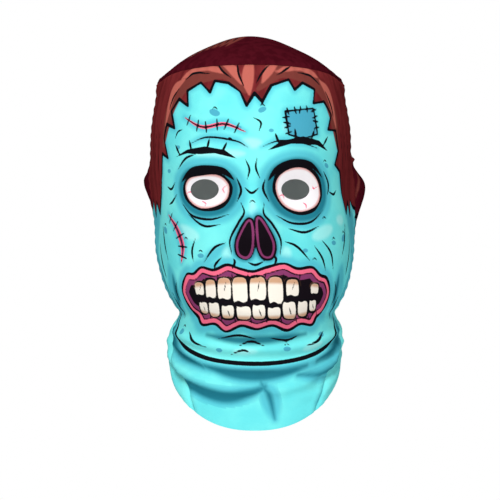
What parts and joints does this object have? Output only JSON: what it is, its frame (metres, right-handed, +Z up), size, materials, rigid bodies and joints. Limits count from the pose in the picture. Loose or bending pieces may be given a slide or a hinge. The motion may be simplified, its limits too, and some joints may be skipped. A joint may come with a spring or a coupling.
{
  "type": "printed stretch-knit hood mask",
  "caption": "Full-head hood mask of printed stretch knit in its worn form, with a zombie face panel, open eye holes, a hair-printed crown and back, and an open neck.",
  "frame": {"origin": "inside of the crown, where the top of the wearer's head carries the mask", "axes": "+Z up through the crown, -Y the way the printed face looks, +X to the wearer's left"},
  "size_m": [0.1813, 0.2063, 0.3152],
  "materials": {
    "face_print": "matt fine knit, printed on its outer side, white inside",
    "hair_print": "matt fine knit, printed on its outer side, white inside"
  },
  "bodies": {
    "root": {"face_panel": "face_print", "hood_back": "hair_print"}
  },
  "joints": []
}
